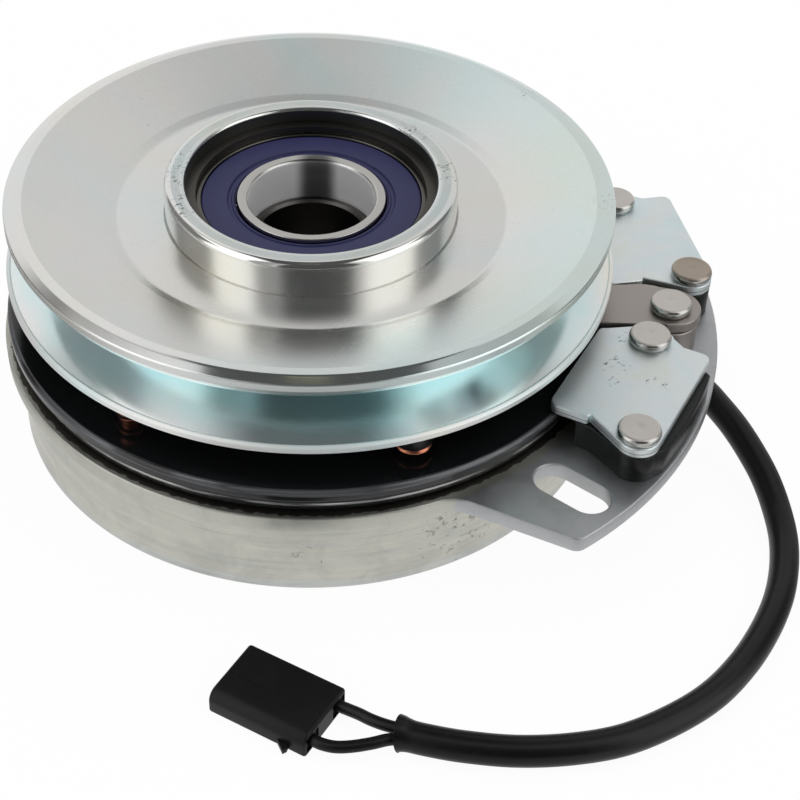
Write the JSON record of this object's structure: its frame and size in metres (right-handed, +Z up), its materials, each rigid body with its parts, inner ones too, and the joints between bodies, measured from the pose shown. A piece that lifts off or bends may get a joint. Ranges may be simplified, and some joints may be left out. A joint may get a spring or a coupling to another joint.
{
  "type": "electromagnetic clutch",
  "caption": "Electromagnetic clutch with a V-belt pulley on a sealed bearing, a permanent magnet brake on the shell's ear, and a short lead with a flat connector.",
  "frame": {"origin": "on the shaft axis, in the plane of the shell's flat bottom", "axes": "+Z up along the shaft, from the coil shell to the pulley; +X towards the brake, between the brake plates and the slot's side of the ear; +Y away from the connector"},
  "size_m": [0.1914, 0.1961, 0.0642],
  "materials": {
    "raw_steel": "drawn steel, dull, unpainted",
    "pole_steel": "turned steel",
    "nylon": "natural nylon",
    "copper_wire": "enamelled copper wire",
    "potting": "black potting resin",
    "grommet_rubber": "black rubber",
    "bearing_steel": "ground bearing steel",
    "ball_steel": "polished balls",
    "cage_steel": "pressed cage",
    "blue_seal": "indigo moulded rubber seal",
    "black_seal": "black moulded rubber seal",
    "ring_steel": "phosphated spring steel",
    "black_steel": "black, glossy",
    "hub_steel": "dark turned steel",
    "friction": "moulded friction material",
    "zinc": "bright zinc plate",
    "spring_steel": "dark spring steel",
    "copper_rivet": "copper-plated rivet",
    "nickel_rivet": "nickel-plated rivet",
    "strap_steel": "warm nickel plate",
    "magnet_plastic": "black moulded plastic",
    "magnet": "ferrite",
    "sleeve": "satin black vinyl sleeve",
    "wire": "black wire insulation",
    "connector": "black moulded nylon",
    "terminal": "tinned brass blade"
  },
  "bodies": {
    "field": {"field_shell": "raw_steel", "field_floor": "raw_steel", "field_flange": "raw_steel", "inner_pole": "pole_steel", "coil_bobbin": "nylon", "coil_winding": "copper_wire", "coil_potting": "potting", "cable_grommet": "grommet_rubber", "field_bearing_outer_race": "bearing_steel", "field_bearing_seals": "black_seal", "field_bearing_circlip": "ring_steel", "near_brake_plate": "zinc", "far_brake_plate": "zinc", "near_magnet_holder": "magnet_plastic", "far_magnet_holder": "magnet_plastic", "brake_magnets": "magnet", "brake_rivets": "nickel_rivet", "centre_strap": "strap_steel", "strap_spacer": "strap_steel", "strap_rivet": "nickel_rivet", "lead_sleeve": "sleeve", "lead_wire_a": "wire", "lead_wire_b": "wire", "connector_housing": "connector", "connector_terminals": "terminal"},
    "rotor": {"rotor_disc": "black_steel", "rotor_hub": "hub_steel", "friction_ring": "friction", "field_bearing_inner_race": "bearing_steel", "hub_snap_ring": "ring_steel", "pulley_bearing_inner_race": "bearing_steel"},
    "field_cage": {"field_bearing_cage": "cage_steel", "field_bearing_balls": "ball_steel"},
    "pulley_cage": {"pulley_bearing_cage": "cage_steel", "pulley_bearing_balls": "ball_steel"},
    "pulley": {"pulley_bearing_outer_race": "bearing_steel", "upper_bearing_seal": "blue_seal", "lower_bearing_seal": "blue_seal", "hub_circlip": "ring_steel", "pulley_hub": "zinc", "upper_flange": "zinc", "lower_flange": "zinc", "drive_plate": "black_steel", "leaf_springs": "spring_steel", "drive_rivets": "copper_rivet"},
    "armature": {"armature": "black_steel", "armature_spacers": "copper_rivet", "armature_rivets": "copper_rivet"}
  },
  "joints": [
    {"name": "rotor_spin", "type": "hinge", "parent": "field", "child": "rotor", "pos_m": [0, 0, 0.0104], "axis": [0, 0, 1], "continuous": true},
    {"name": "pulley_spin", "type": "hinge", "parent": "rotor", "child": "pulley", "pos_m": [0, 0, 0.0473], "axis": [0, 0, 1], "continuous": true},
    {"name": "armature_travel", "type": "slide", "parent": "pulley", "child": "armature", "axis": [0, 0, -1], "range_m": [-0.0002, 0.0004], "stiffness_N_per_m": 20000, "deforming": ["leaf_springs"]},
    {"name": "pulley_cage_spin", "type": "hinge", "parent": "rotor", "child": "pulley_cage", "pos_m": [0, 0, 0.0473], "axis": [0, 0, 1], "continuous": true},
    {"name": "field_cage_spin", "type": "hinge", "parent": "field", "child": "field_cage", "pos_m": [0, 0, 0.0104], "axis": [0, 0, 1], "continuous": true}
  ],
  "couplings": [
    {"joint": "pulley_cage_spin", "follows": "pulley_spin", "ratio": 0.5971},
    {"joint": "field_cage_spin", "follows": "rotor_spin", "ratio": 0.4109}
  ]
}
